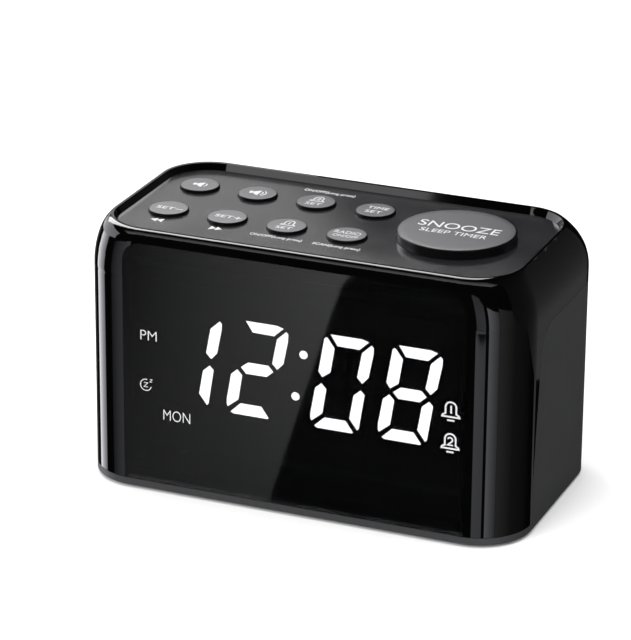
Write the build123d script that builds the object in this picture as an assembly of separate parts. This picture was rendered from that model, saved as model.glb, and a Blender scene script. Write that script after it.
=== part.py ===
"""Bedside clock radio: a gloss shell over the front and top, a matt case behind and below it,
a full-face smoked lens over a four-digit display, eight round keys and a large snooze key.

Frame: +Z up, -Y is the front, +X is the right-hand side seen from the front.
The origin is at the centre of the footprint, on the surface that the feet stand on.
All sizes are in millimetres.
"""

import math
import os

from build123d import *

os.makedirs("parts", exist_ok=True)

# ---------------------------------------------------------------- driving dimensions
# Body
WIDTH = 136.0
DEPTH = 72.0
BODY_HEIGHT = 79.7
FOOT_HEIGHT = 1.0
WALL = 2.2
FLOOR = 2.1
CORNER_FRONT = 16.2
CORNER_BACK = 12.0

# Crown: the top of the body leans in at the sides and back, and turns a small radius at the front
CROWN_DROP = 15.0
CROWN_INSET_SIDE = 4.6
CROWN_INSET_BACK = 5.6
FRONT_EDGE_RADIUS = 3.2
RIM_CORNER = 14.8

# Recess for the key panel, inside the rim
RIM_LIP = 0.8
RIM_LIP_FRONT = 0.8
RIM_LIP_BACK = 1.2
RECESS_DEPTH = 2.0
RECESS_SLOPE = 1.0
PANEL_THICKNESS = 2.0
PANEL_CLEARANCE = 0.1
LEDGE_WIDTH = 2.0
LEDGE_THICKNESS = 1.6

# Joint between the gloss shell and the matt case
PARTING_HEIGHT = 60.5
PARTING_Y_LOW = -21.0
PARTING_Y_HIGH = -15.0
PARTING_RADIUS = 9.5
PARTING_GAP = 0.15

# Lens
LENS_WIDTH = 106.0
LENS_THICKNESS = 2.0
LENS_CORNER = 6.0
LENS_GAP = 0.1
LENS_LEDGE = 1.7
LENS_LEDGE_LOW = 3.2
LENS_LEDGE_THICKNESS = 1.25
LENS_BOND = 0.15

# Keys: four columns by two rows, and one large key
KEY_DIAMETER = 11.7
KEY_PITCH_X = 18.75
KEY_PITCH_Y = 22.4
KEY_FIRST_X = 0.6 * KEY_DIAMETER - 56.77
KEY_CENTRE_Y = 0.55
KEY_PROUD = 0.95
KEY_TRAVEL = 0.5
KEY_EDGE = 0.35
SNOOZE_DIAMETER = 34.6
SNOOZE_X = 36.0
SNOOZE_PROUD = 2.8
SNOOZE_TRAVEL = 0.8
SNOOZE_EDGE = 0.6
SNOOZE_SHELL = 1.6
KEY_CLEARANCE = 0.2
KEY_FLANGE = 1.15
KEY_FLANGE_THICKNESS = 1.0
KEY_FLANGE_GAP = 0.05
KEY_STEM_DIAMETER = 4.0

# Switches on the key board
BOARD_THICKNESS = 1.6
SWITCH_SIZE = 6.0
SWITCH_HEIGHT = 3.5
PLUNGER_DIAMETER = 3.4
PLUNGER_CLEARANCE = 0.1
PLUNGER_PROUD = 1.1
PLUNGER_DEEP = 1.2
SWITCH_TO_FLANGE = 2.15
KEY_BOARD_X = (-53.5, 53.5)
KEY_BOARD_Y = (-22.5, 24.0)

# Display
DISPLAY_GAP = 0.3
HOUSING_DEPTH = 7.6
HOUSING_WIDTH = LENS_WIDTH - 5.0
HOUSING_LOW = 17.0
HOUSING_HIGH = 67.0
SEGMENT_DEPTH = 1.2
DIGIT_HEIGHT = 29.0
DIGIT_SPREAD = LENS_WIDTH / 106.0
DIGIT_WIDTH = 11.9 * DIGIT_SPREAD
DIGIT_LOW = 29.0
DIGIT_SLANT = 0.168
DIGIT_X = [x * DIGIT_SPREAD for x in (-40.4, -19.7, 6.45, 27.2)]
COLON_DOTS = ((3.0 * DIGIT_SPREAD, 50.5), (0.6 * DIGIT_SPREAD, 37.3))
COLON_DIAMETER = 2.5
WELL_CLEARANCE = 0.05
LED_SIZE = (1.6, 0.7, 0.8)
DISPLAY_BOARD_SIZE = (LENS_WIDTH + 5.0, 58.0)
DISPLAY_BOARD_LOW = 11.0

# Battery bay for two AAA cells, and its sliding door
CELL_LENGTH = 44.5
CELL_DIAMETER = 10.5
BAY_SPARE_LENGTH = 4.7
BAY_SPARE_WIDTH = 2.0
BAY_DEPTH = 12.0
BAY_BACK_GAP = 2.8
BAY_WALL = 1.5
DOOR_THICKNESS = 2.0
DOOR_MARGIN = 2.4
DOOR_CLEARANCE = 0.15
TONGUE_REACH = 1.2
TONGUE_THICKNESS = 0.6
DOOR_TRAVEL = 32.0
SPRING_LENGTH = 5.5
SPRING_WIRE = 0.6

# Main board and the sockets on it
MAIN_BOARD_Z = 18.0
MAIN_BOARD_SIZE = (102.0, 46.0)
MAIN_BOARD_BACK_GAP = 2.6
JACK_X = -38.0
JACK_SIZE = (9.0, 13.0, 11.0)
JACK_NOSE_DIAMETER = 7.8
JACK_BORE_DIAMETER = 5.7
JACK_BORE_DEPTH = 9.5
JACK_PIN_DIAMETER = 2.0
SOCKET_CLEARANCE = 0.3
SOCKET_SUNK = 0.4

# Speaker
SPEAKER_DIAMETER = 40.0
SPEAKER_Z = 42.5
CONE_DIAMETER = 33.0
COIL_DIAMETER = 13.0
CONE_DEPTH = 8.0
BASKET_DEPTH = 13.0
MAGNET_DIAMETER = 22.0
MAGNET_DEPTH = 7.0
GASKET_THICKNESS = 1.0
FLANGE_THICKNESS = 1.0
EAR_DIAMETER = 6.4
GRILLE_HOLE = 1.7
GRILLE_RING_PITCH = 3.1
GRILLE_RINGS = 5

# Feet, screws and posts
FOOT_DIAMETER = 10.0
FOOT_POCKET = 0.6
FOOT_X = 46.0
FOOT_Y = 25.0
POST_X = 57.5
POST_Y = (-18.0, 24.0)
POST_DIAMETER = 9.0
POST_BORE_DIAMETER = 6.6
POST_ROOF = 2.4
BOSS_DIAMETER = 7.0
BOSS_LENGTH = 15.0
SCREW_SHANK_DIAMETER = 2.9
SCREW_HEAD_DIAMETER = 5.6
SCREW_HEAD_HEIGHT = 2.0
SCREW_LENGTH = 12.0
PILOT_CLEARANCE = 0.1
SMALL_SHANK = 1.9
SMALL_HEAD = 3.8
SMALL_HEAD_HEIGHT = 1.3
SMALL_BOSS = 4.6

# ---------------------------------------------------------------- derived places
Y_FRONT = -DEPTH / 2
Y_BACK = DEPTH / 2
Z_BASE = FOOT_HEIGHT
Z_TOP = FOOT_HEIGHT + BODY_HEIGHT
Z_FLOOR = Z_BASE + FLOOR
Z_CROWN = Z_TOP - CROWN_DROP
Z_PARTING = Z_BASE + PARTING_HEIGHT
FRONT_WALL = LENS_THICKNESS + LENS_BOND + LENS_LEDGE_THICKNESS

Z_PANEL_TOP = Z_TOP - RECESS_DEPTH
Z_PANEL_LOW = Z_PANEL_TOP - PANEL_THICKNESS
Z_LEDGE_LOW = Z_PANEL_LOW - LEDGE_THICKNESS
Z_FLANGE_TOP = Z_PANEL_LOW - KEY_FLANGE_GAP
Z_FLANGE_LOW = Z_FLANGE_TOP - KEY_FLANGE_THICKNESS
Z_SWITCH_TOP = Z_FLANGE_LOW - SWITCH_TO_FLANGE
Z_KEY_BOARD = Z_SWITCH_TOP - SWITCH_HEIGHT
Z_PLUNGER_TOP = Z_SWITCH_TOP + PLUNGER_PROUD

Y_LENS_BACK = Y_FRONT + LENS_THICKNESS
Y_LEDGE_BACK = Y_FRONT + FRONT_WALL
Y_DISPLAY = Y_LENS_BACK + DISPLAY_GAP
Y_DISPLAY_BOARD = Y_DISPLAY + HOUSING_DEPTH
Z_LENS_LOW = Z_FLOOR + PARTING_GAP
Z_LENS_TOP = Z_TOP - FRONT_EDGE_RADIUS - LENS_GAP

Y_WALL_INNER = Y_BACK - WALL
BAY_LENGTH = CELL_LENGTH + BAY_SPARE_LENGTH
BAY_WIDTH = 2 * CELL_DIAMETER + BAY_SPARE_WIDTH
BAY_Y_HIGH = Y_WALL_INNER - BAY_BACK_GAP
BAY_Y_LOW = BAY_Y_HIGH - BAY_WIDTH
BAY_ROOF_Z = Z_FLOOR + BAY_DEPTH
DOOR_HALF = BAY_LENGTH / 2 + DOOR_MARGIN
DOOR_Y_LOW = BAY_Y_LOW - DOOR_MARGIN
Z_TONGUE = Z_BASE + (DOOR_THICKNESS - TONGUE_THICKNESS) / 2
Z_SLOT_ROOF = Z_BASE + DOOR_THICKNESS + DOOR_CLEARANCE

Z_MAIN_TOP = MAIN_BOARD_Z + BOARD_THICKNESS
MAIN_Y_HIGH = Y_WALL_INNER - MAIN_BOARD_BACK_GAP
MAIN_Y_LOW = MAIN_Y_HIGH - MAIN_BOARD_SIZE[1]
JACK_Z = Z_MAIN_TOP + JACK_SIZE[2] / 2
Y_SOCKET_FACE = Y_BACK - SOCKET_SUNK

Z_POST_TOP = Z_LEDGE_LOW - BOSS_LENGTH
Z_SCREW_SEAT = Z_POST_TOP - POST_ROOF

KEYS = [
    # name, column, row (row 0 is nearer the front)
    ("set_minus", 0, 0),
    ("set_plus", 1, 0),
    ("alarm_1", 2, 0),
    ("radio", 3, 0),
    ("volume_down", 0, 1),
    ("volume_up", 1, 1),
    ("alarm_2", 2, 1),
    ("time_set", 3, 1),
]
SNOOZE_PLACE = (SNOOZE_X, KEY_CENTRE_Y)


def key_place(column, row):
    """Centre of a small key on the panel."""
    return (
        KEY_FIRST_X + column * KEY_PITCH_X,
        KEY_CENTRE_Y + (row - 0.5) * KEY_PITCH_Y,
    )


KEY_PLACES = [key_place(column, row) for _, column, row in KEYS]


# ---------------------------------------------------------------- shape helpers
def save(shape, node):
    """Writes one node's solids."""
    export_step(shape, f"parts/{node}.step")


def slab(x, y, z):
    """Box from (low, high) pairs along each axis."""
    size = [pair[1] - pair[0] for pair in (x, y, z)]
    centre = [(pair[1] + pair[0]) / 2 for pair in (x, y, z)]
    return Pos(*centre) * Box(*size)


def rod_z(place, diameter, z_low, z_high):
    """Upright cylinder."""
    return Pos(place[0], place[1], (z_low + z_high) / 2) * Cylinder(diameter / 2, z_high - z_low)


def rod_y(x, z, diameter, y_low, y_high):
    """Cylinder along Y."""
    turned = Rot(90, 0, 0) * Cylinder(diameter / 2, y_high - y_low)
    return Pos(x, (y_low + y_high) / 2, z) * turned


def group(shapes):
    """Separate solids kept in one node."""
    return Compound(children=[solid for shape in shapes for solid in shape.solids()])


def rounded_outline(half_x, y_front, y_back, r_front, r_back):
    """Face of a rectangle with its own corner radius at the front and at the back."""
    bend = math.sqrt(0.5)

    def corner(centre, radius, quarter_x, quarter_y):
        start = (centre[0], centre[1] + quarter_y * radius)
        middle = (centre[0] + quarter_x * radius * bend, centre[1] + quarter_y * radius * bend)
        end = (centre[0] + quarter_x * radius, centre[1])
        return start, middle, end

    front_right = corner((half_x - r_front, y_front + r_front), r_front, 1, -1)
    back_right = corner((half_x - r_back, y_back - r_back), r_back, 1, 1)
    back_left = corner((-half_x + r_back, y_back - r_back), r_back, -1, 1)
    front_left = corner((-half_x + r_front, y_front + r_front), r_front, -1, -1)
    edges = [
        Line(front_left[0], front_right[0]),
        ThreePointArc(*front_right),
        Line(front_right[2], back_right[2]),
        ThreePointArc(*reversed(back_right)),
        Line(back_right[0], back_left[0]),
        ThreePointArc(*back_left),
        Line(back_left[2], front_left[2]),
        ThreePointArc(*reversed(front_left)),
    ]
    return make_face(edges)


def lean(drop, inset):
    """How far the crown has leaned in at a depth below the rim."""
    if drop >= CROWN_DROP:
        return 0.0
    radius = (CROWN_DROP**2 + inset**2) / (2 * inset)
    return radius - math.sqrt(radius**2 - (CROWN_DROP - drop) ** 2)


def front_turn(drop):
    """How far the front edge radius has turned in at a depth below the rim."""
    if drop >= FRONT_EDGE_RADIUS:
        return 0.0
    return FRONT_EDGE_RADIUS - math.sqrt(FRONT_EDGE_RADIUS**2 - (FRONT_EDGE_RADIUS - drop) ** 2)


def body_section(drop, inset=0.0, front_inset=0.0):
    """The body's plan at a depth below the rim, set in from the outer surface."""
    side = lean(drop, CROWN_INSET_SIDE)
    share = side / CROWN_INSET_SIDE
    r_front = CORNER_FRONT + (RIM_CORNER - CORNER_FRONT) * share - max(inset, front_inset)
    r_back = CORNER_BACK + (RIM_CORNER - CORNER_BACK) * share - inset
    face = rounded_outline(
        WIDTH / 2 - side - inset,
        Y_FRONT + front_turn(drop) + front_inset,
        Y_BACK - lean(drop, CROWN_INSET_BACK) - inset,
        max(r_front, 1.0),
        max(r_back, 1.0),
    )
    return Pos(0, 0, Z_TOP - drop) * face


def straight_body(z_low, z_high, inset=0.0, front_inset=0.0):
    """The body's plan below the crown, extruded."""
    face = Pos(0, 0, z_low - (Z_TOP - CROWN_DROP)) * body_section(CROWN_DROP, inset, front_inset)
    return extrude(face, z_high - z_low)


def crown_body(drops, inset=0.0, front_inset=0.0):
    """The crown, lofted through its sections."""
    return loft([body_section(drop, inset, front_inset) for drop in drops])


def parting_region(grow=0.0):
    """Everything in front of and above the joint between shell and case, in side view."""
    far = WIDTH
    lean_angle = math.atan2(PARTING_Y_HIGH - PARTING_Y_LOW, Z_PARTING - Z_FLOOR)
    shift = grow / math.cos(lean_angle)
    z_low = Z_FLOOR
    low = (PARTING_Y_LOW + shift, z_low)
    rise = (Z_PARTING - grow) - z_low
    high = (PARTING_Y_LOW + shift + rise * math.tan(lean_angle), Z_PARTING - grow)
    outline = Polyline(
        (-far, z_low),
        low,
        high,
        (far, Z_PARTING - grow),
        (far, Z_TOP + far),
        (-far, Z_TOP + far),
        close=True,
    )
    face = make_face(outline)
    corner = face.vertices().sort_by_distance((high[0], high[1], 0))[0]
    face = fillet(corner, PARTING_RADIUS + grow)
    turned = Plane.YZ.offset(-WIDTH) * face
    return extrude(turned, 2 * WIDTH)


def rim_section(set_in):
    """Outline inside the rim, set in further by a given amount."""
    return rounded_outline(
        WIDTH / 2 - CROWN_INSET_SIDE - RIM_LIP - set_in,
        Y_FRONT + FRONT_EDGE_RADIUS + RIM_LIP_FRONT + set_in,
        Y_BACK - CROWN_INSET_BACK - RIM_LIP_BACK - set_in,
        RIM_CORNER - RIM_LIP - set_in,
        RIM_CORNER - RIM_LIP - set_in,
    )


def lens_outline(grow=0.0, low=None):
    """Lens outline in the XZ plane: square at the bottom, rounded at the top."""
    half = LENS_WIDTH / 2 + grow
    z_low = Z_LENS_LOW if low is None else low
    z_high = Z_LENS_TOP + grow
    face = make_face(Polyline((-half, z_low), (half, z_low), (half, z_high), (-half, z_high), close=True))
    top = face.vertices().sort_by(Axis.Y)[-2:]
    return fillet(top, LENS_CORNER + grow)


def upright_plate(face, y_low, y_high):
    """A face drawn in X and Z, given thickness along Y."""
    standing = Plane(origin=(0, y_low, 0), x_dir=(1, 0, 0), z_dir=(0, -1, 0)) * face
    return extrude(standing, y_low - y_high)


# ---------------------------------------------------------------- the two case mouldings
CROWN_DROPS = (CROWN_DROP, 12.0, 9.0, 6.5, 4.6, 3.2, 2.3, 1.5, 0.8, 0.3, 0.0)
CAVITY_STEP = lean(CROWN_DROP - (Z_LEDGE_LOW - Z_CROWN), CROWN_INSET_SIDE) + 0.4

outer_low = straight_body(Z_BASE, Z_CROWN)
outer_crown = crown_body(CROWN_DROPS)
outer = outer_low + outer_crown

cavity = straight_body(Z_FLOOR, Z_CROWN, WALL, FRONT_WALL)
cavity += straight_body(Z_CROWN - 0.5, Z_LEDGE_LOW, WALL + CAVITY_STEP, FRONT_WALL)

recess = loft(
    [
        Pos(0, 0, Z_TOP + 0.01) * rim_section(0),
        Pos(0, 0, Z_PANEL_TOP) * rim_section(RECESS_SLOPE),
    ]
)
pocket = Pos(0, 0, Z_PANEL_LOW) * extrude(rim_section(RECESS_SLOPE), PANEL_THICKNESS)
ledge_hole = Pos(0, 0, Z_LEDGE_LOW - 1) * extrude(
    rim_section(RECESS_SLOPE + LEDGE_WIDTH), LEDGE_THICKNESS + 1.01
)

POST_PLACES = [(side * POST_X, y) for side in (-1, 1) for y in POST_Y]
DISPLAY_BOSSES = [
    (side * (LENS_WIDTH / 2 + 0.8), z)
    for side in (-1, 1)
    for z in (DISPLAY_BOARD_LOW + 3.5, DISPLAY_BOARD_LOW + DISPLAY_BOARD_SIZE[1] - 3.5)
]

front_shell = outer & parting_region()
front_shell -= slab((-WIDTH, WIDTH), (-DEPTH, DEPTH), (0, Z_LENS_LOW))
front_shell -= cavity
front_shell -= recess
front_shell -= pocket
front_shell -= ledge_hole
lens_pocket_depth = LENS_THICKNESS + LENS_BOND
front_shell -= upright_plate(
    lens_outline(LENS_GAP, Z_LENS_LOW - 1), Y_FRONT - 1, Y_FRONT + lens_pocket_depth
)
front_shell -= upright_plate(
    lens_outline(-LENS_LEDGE, Z_LENS_LOW + LENS_LEDGE_LOW), Y_FRONT, Y_LEDGE_BACK + 0.5
)
for place in POST_PLACES:
    front_shell += rod_z(place, BOSS_DIAMETER, Z_POST_TOP, Z_PANEL_LOW)
for place in POST_PLACES:
    bore_top = Z_SCREW_SEAT + SCREW_LENGTH + 1
    front_shell -= rod_z(place, SCREW_SHANK_DIAMETER + 2 * PILOT_CLEARANCE, Z_POST_TOP - 1, bore_top)
for x, z in DISPLAY_BOSSES:
    front_shell += rod_y(x, z, SMALL_BOSS, Y_LEDGE_BACK - 0.6, Y_DISPLAY_BOARD)
for x, z in DISPLAY_BOSSES:
    bore = SMALL_SHANK + 2 * PILOT_CLEARANCE
    front_shell -= rod_y(x, z, bore, Y_DISPLAY_BOARD - 4.5, Y_DISPLAY_BOARD + 1)
save(front_shell, "front_shell")

display_lens = upright_plate(lens_outline(), Y_FRONT, Y_LENS_BACK)
save(display_lens, "display_lens")

# Matt case: floor, back and the lower sides, with the battery bay and the screw posts
MAIN_POSTS = [
    (side * (MAIN_BOARD_SIZE[0] / 2 - 5), y) for side in (-1, 1) for y in (MAIN_Y_LOW + 4, MAIN_Y_HIGH - 5)
]
SPEAKER_BOSS_RADIUS = SPEAKER_DIAMETER / 2 + SMALL_BOSS / 2 + 0.1
SPEAKER_BOSSES = [
    (
        SPEAKER_BOSS_RADIUS * math.cos(math.radians(angle)),
        SPEAKER_Z + SPEAKER_BOSS_RADIUS * math.sin(math.radians(angle)),
    )
    for angle in (30, 150, 210, 330)
]
Y_SPEAKER_FLANGE = Y_WALL_INNER - GASKET_THICKNESS
Y_SPEAKER_FACE = Y_SPEAKER_FLANGE - FLANGE_THICKNESS

rear_case = outer_low - parting_region(PARTING_GAP)
rear_case -= cavity
rear_case += slab(
    (-BAY_LENGTH / 2 - BAY_WALL, BAY_LENGTH / 2 + BAY_WALL),
    (BAY_Y_LOW - BAY_WALL, BAY_Y_HIGH + BAY_WALL),
    (Z_FLOOR - 0.5, BAY_ROOF_Z + BAY_WALL),
)
rear_case += slab(
    (-DOOR_HALF - 3, DOOR_HALF + 3),
    (DOOR_Y_LOW - 3, Y_WALL_INNER + 0.5),
    (Z_FLOOR - 0.5, Z_FLOOR + BAY_WALL),
)
bay = slab((-BAY_LENGTH / 2, BAY_LENGTH / 2), (BAY_Y_LOW, BAY_Y_HIGH), (Z_BASE - 1, BAY_ROOF_Z))
rear_case -= bay
door_channel = slab(
    (-DOOR_HALF - DOOR_CLEARANCE, DOOR_HALF + DOOR_CLEARANCE),
    (DOOR_Y_LOW - DOOR_CLEARANCE, DEPTH),
    (Z_BASE - 1, Z_SLOT_ROOF),
)
tongue_channel = slab(
    (-DOOR_HALF - TONGUE_REACH - DOOR_CLEARANCE, DOOR_HALF + TONGUE_REACH + DOOR_CLEARANCE),
    (DOOR_Y_LOW - DOOR_CLEARANCE, DEPTH),
    (Z_TONGUE - DOOR_CLEARANCE, Z_TONGUE + TONGUE_THICKNESS + DOOR_CLEARANCE),
)
rear_case -= door_channel
rear_case -= tongue_channel
for place in POST_PLACES:
    rear_case += rod_z(place, POST_DIAMETER, Z_FLOOR - 0.5, Z_POST_TOP)
for place in POST_PLACES:
    rear_case -= rod_z(place, POST_BORE_DIAMETER, Z_BASE - 1, Z_SCREW_SEAT)
    rear_case -= rod_z(place, SCREW_SHANK_DIAMETER + 0.6, Z_BASE, Z_POST_TOP + 1)
for place in MAIN_POSTS:
    rear_case += rod_z(place, SMALL_BOSS + 0.8, Z_FLOOR - 0.5, MAIN_BOARD_Z)
for place in MAIN_POSTS:
    rear_case -= rod_z(place, SMALL_SHANK + 2 * PILOT_CLEARANCE, MAIN_BOARD_Z - 6, MAIN_BOARD_Z + 1)
for x, z in SPEAKER_BOSSES:
    rear_case += rod_y(x, z, SMALL_BOSS, Y_SPEAKER_FLANGE, Y_WALL_INNER + 0.5)
for x, z in SPEAKER_BOSSES:
    rear_case -= rod_y(x, z, SMALL_SHANK + 2 * PILOT_CLEARANCE, Y_SPEAKER_FACE - 1, Y_BACK - 0.8)
grille = [rod_y(0, SPEAKER_Z, GRILLE_HOLE, Y_WALL_INNER - 1, Y_BACK + 1)]
for ring in range(1, GRILLE_RINGS + 1):
    for step in range(6 * ring):
        angle = math.radians(60 * step / ring)
        x = ring * GRILLE_RING_PITCH * math.cos(angle)
        z = SPEAKER_Z + ring * GRILLE_RING_PITCH * math.sin(angle)
        grille.append(rod_y(x, z, GRILLE_HOLE, Y_WALL_INNER - 1, Y_BACK + 1))
rear_case -= grille
rear_case -= rod_y(
    JACK_X, JACK_Z, JACK_NOSE_DIAMETER + 2 * SOCKET_CLEARANCE, Y_WALL_INNER - 1, Y_BACK + 1
)
FOOT_PLACES = [(side_x * FOOT_X, side_y * FOOT_Y) for side_x in (-1, 1) for side_y in (-1, 1)]
for place in FOOT_PLACES:
    rear_case -= rod_z(place, FOOT_DIAMETER + 0.1, Z_BASE - 1, Z_BASE + FOOT_POCKET)
save(rear_case, "rear_case")

# ---------------------------------------------------------------- key panel, keys and switches
KEY_BOARD_BOSSES = [
    (KEY_FIRST_X + 0.5 * KEY_PITCH_X, KEY_CENTRE_Y),
    (KEY_FIRST_X + 2.5 * KEY_PITCH_X, KEY_CENTRE_Y),
    (KEY_BOARD_X[1] - 2.4, KEY_BOARD_Y[1] - 4.4),
    (KEY_BOARD_X[1] - 2.4, KEY_BOARD_Y[0] + 4.4),
]
small_hole = KEY_DIAMETER + 2 * KEY_CLEARANCE
snooze_hole = SNOOZE_DIAMETER + 2 * KEY_CLEARANCE

top_panel = Pos(0, 0, Z_PANEL_LOW) * extrude(
    rim_section(RECESS_SLOPE + PANEL_CLEARANCE), PANEL_THICKNESS
)
top_panel -= [rod_z(place, small_hole, Z_PANEL_LOW - 1, Z_PANEL_TOP + 1) for place in KEY_PLACES]
top_panel -= rod_z(SNOOZE_PLACE, snooze_hole, Z_PANEL_LOW - 1, Z_PANEL_TOP + 1)
for place in KEY_BOARD_BOSSES:
    top_panel += rod_z(place, SMALL_BOSS, Z_KEY_BOARD, Z_PANEL_LOW + 0.5)
for place in KEY_BOARD_BOSSES:
    top_panel -= rod_z(place, SMALL_SHANK + 2 * PILOT_CLEARANCE, Z_KEY_BOARD - 1, Z_KEY_BOARD + 5)
save(top_panel, "top_panel")


def key_cap(place, diameter, proud, edge, travel):
    """Round key: rounded top edge, a flange under the panel, and a stem over its switch."""
    top = Z_PANEL_TOP + proud
    cap = rod_z(place, diameter, Z_FLANGE_LOW, top)
    rim = cap.edges().filter_by(GeomType.CIRCLE).sort_by(Axis.Z)[-1]
    cap = fillet(rim, edge)
    cap += rod_z(place, diameter + 2 * KEY_FLANGE, Z_FLANGE_LOW, Z_FLANGE_TOP)
    stem_end = Z_PLUNGER_TOP + travel + PLUNGER_CLEARANCE
    cap += rod_z(place, KEY_STEM_DIAMETER, stem_end, Z_FLANGE_LOW + 0.5)
    return cap


for name, column, row in KEYS:
    cap = key_cap(key_place(column, row), KEY_DIAMETER, KEY_PROUD, KEY_EDGE, KEY_TRAVEL)
    save(cap, f"key_{name}")

snooze = key_cap(SNOOZE_PLACE, SNOOZE_DIAMETER, SNOOZE_PROUD, SNOOZE_EDGE, SNOOZE_TRAVEL)
hollow_top = Z_PANEL_TOP + SNOOZE_PROUD - SNOOZE_SHELL
hollow = rod_z(SNOOZE_PLACE, SNOOZE_DIAMETER - 2 * SNOOZE_SHELL, Z_FLANGE_LOW - 1, hollow_top)
hollow -= rod_z(SNOOZE_PLACE, KEY_STEM_DIAMETER + 3, Z_FLANGE_LOW - 1, hollow_top)
snooze -= hollow
save(snooze, "key_snooze")

SWITCH_PLACES = KEY_PLACES + [SNOOZE_PLACE]
half_switch = SWITCH_SIZE / 2
housings = []
plungers = []
for x, y in SWITCH_PLACES:
    body = slab(
        (x - half_switch, x + half_switch),
        (y - half_switch, y + half_switch),
        (Z_KEY_BOARD, Z_SWITCH_TOP),
    )
    body = chamfer(body.edges().filter_by(Axis.Z), 0.6)
    bore = PLUNGER_DIAMETER + 2 * PLUNGER_CLEARANCE
    body -= rod_z((x, y), bore, Z_SWITCH_TOP - PLUNGER_DEEP, Z_SWITCH_TOP + 1)
    housings.append(body)
    plungers.append(rod_z((x, y), PLUNGER_DIAMETER, Z_SWITCH_TOP - PLUNGER_DEEP, Z_PLUNGER_TOP))
save(group(housings), "tact_switches")
save(group(plungers), "switch_plungers")

key_board = slab(KEY_BOARD_X, KEY_BOARD_Y, (Z_KEY_BOARD - BOARD_THICKNESS, Z_KEY_BOARD))
key_board -= [
    rod_z(place, SMALL_SHANK + 0.4, Z_KEY_BOARD - 3, Z_KEY_BOARD + 1) for place in KEY_BOARD_BOSSES
]
save(key_board, "key_board")


def small_screw(length):
    """Pan-head screw standing on its head, head below zero and shank above."""
    screw = rod_z((0, 0), SMALL_HEAD, -SMALL_HEAD_HEIGHT, 0)
    screw = fillet(screw.edges().sort_by(Axis.Z)[0], 0.5)
    screw += rod_z((0, 0), SMALL_SHANK, -0.2, length)
    screw -= slab((-1.2, 1.2), (-0.25, 0.25), (-SMALL_HEAD_HEIGHT - 1, -SMALL_HEAD_HEIGHT + 0.6))
    screw -= slab((-0.25, 0.25), (-1.2, 1.2), (-SMALL_HEAD_HEIGHT - 1, -SMALL_HEAD_HEIGHT + 0.6))
    return screw


board_low = Z_KEY_BOARD - BOARD_THICKNESS
save(
    group([Pos(x, y, board_low) * small_screw(BOARD_THICKNESS + 4.5) for x, y in KEY_BOARD_BOSSES]),
    "key_board_screws",
)

# ---------------------------------------------------------------- display
# Bars of an upright digit 29 high and 11.9 wide, lower left at zero
BAR_OUTLINES = [
    [(0, 29.1), (9.6, 29.1), (11.7, 28.5), (9.3, 25.8), (2.65, 25.9)],
    [(12.7, 27.6), (13.45, 27.0), (13.7, 25.0), (13.5, 17.6), (12.0, 15.6), (10.15, 17.25), (10.3, 24.9)],
    [(11.95, 13.4), (13.3, 12.2), (13.45, 1.6), (13.1, 0.95), (10.1, 4.2), (10.1, 11.5)],
    [(2.65, 3.25), (9.1, 3.25), (11.9, 0.1), (11.7, -0.25), (0.9, -0.25), (0, 0.25)],
    [(-0.15, 13.65), (1.6, 12.1), (1.7, 4.4), (-1.15, 1.7), (-1.6, 2.5), (-1.85, 4.1), (-1.8, 12.0)],
    [(-1.25, 28.0), (-0.75, 27.85), (1.85, 25.0), (1.9, 17.4), (-0.25, 15.65), (-1.7, 17.3), (-1.7, 27.5)],
    [(2.85, 16.35), (9.1, 16.35), (10.9, 14.65), (9.2, 12.85), (2.75, 12.8), (0.85, 14.6)],
]


def slanted(outline, origin_x):
    """Scales and slants an outline and places it at its digit."""
    wide = DIGIT_WIDTH / 11.9
    tall = DIGIT_HEIGHT / 29.0
    return [(origin_x + x * wide + z * tall * DIGIT_SLANT, DIGIT_LOW + z * tall) for x, z in outline]


segment_faces = []
for origin_x in DIGIT_X:
    for outline in BAR_OUTLINES:
        segment_faces.append(make_face(Polyline(*slanted(outline, origin_x), close=True)))
for x, z in COLON_DOTS:
    segment_faces.append(Pos(x, z) * Circle(COLON_DIAMETER / 2))

segments = [upright_plate(face, Y_DISPLAY, Y_DISPLAY + SEGMENT_DEPTH) for face in segment_faces]
save(group(segments), "digit_segments")

reflector = slab(
    (-HOUSING_WIDTH / 2, HOUSING_WIDTH / 2), (Y_DISPLAY, Y_DISPLAY_BOARD), (HOUSING_LOW, HOUSING_HIGH)
)
wells = []
for face in segment_faces:
    grown = offset(face, WELL_CLEARANCE, kind=Kind.INTERSECTION)
    wells.append(upright_plate(grown, Y_DISPLAY - 1, Y_DISPLAY_BOARD + 1))
reflector -= wells
save(reflector, "display_reflector")

leds = []
for face in segment_faces:
    centre = face.center()
    leds.append(
        slab(
            (centre.X - LED_SIZE[0] / 2, centre.X + LED_SIZE[0] / 2),
            (Y_DISPLAY_BOARD - LED_SIZE[1], Y_DISPLAY_BOARD),
            (centre.Y - LED_SIZE[2] / 2, centre.Y + LED_SIZE[2] / 2),
        )
    )
save(group(leds), "display_leds")

Z_DISPLAY_BOARD_TOP = DISPLAY_BOARD_LOW + DISPLAY_BOARD_SIZE[1]
display_board = slab(
    (-DISPLAY_BOARD_SIZE[0] / 2, DISPLAY_BOARD_SIZE[0] / 2),
    (Y_DISPLAY_BOARD, Y_DISPLAY_BOARD + BOARD_THICKNESS),
    (DISPLAY_BOARD_LOW, Z_DISPLAY_BOARD_TOP),
)
for x, z in DISPLAY_BOSSES:
    display_board -= rod_y(x, z, SMALL_SHANK + 0.4, Y_DISPLAY_BOARD - 1, Y_DISPLAY_BOARD + 3)
save(display_board, "display_board")
board_back = Y_DISPLAY_BOARD + BOARD_THICKNESS
display_screw = Rot(90, 0, 0) * small_screw(BOARD_THICKNESS + 4.0)
save(group([Pos(x, board_back, z) * display_screw for x, z in DISPLAY_BOSSES]), "display_board_screws")

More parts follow.
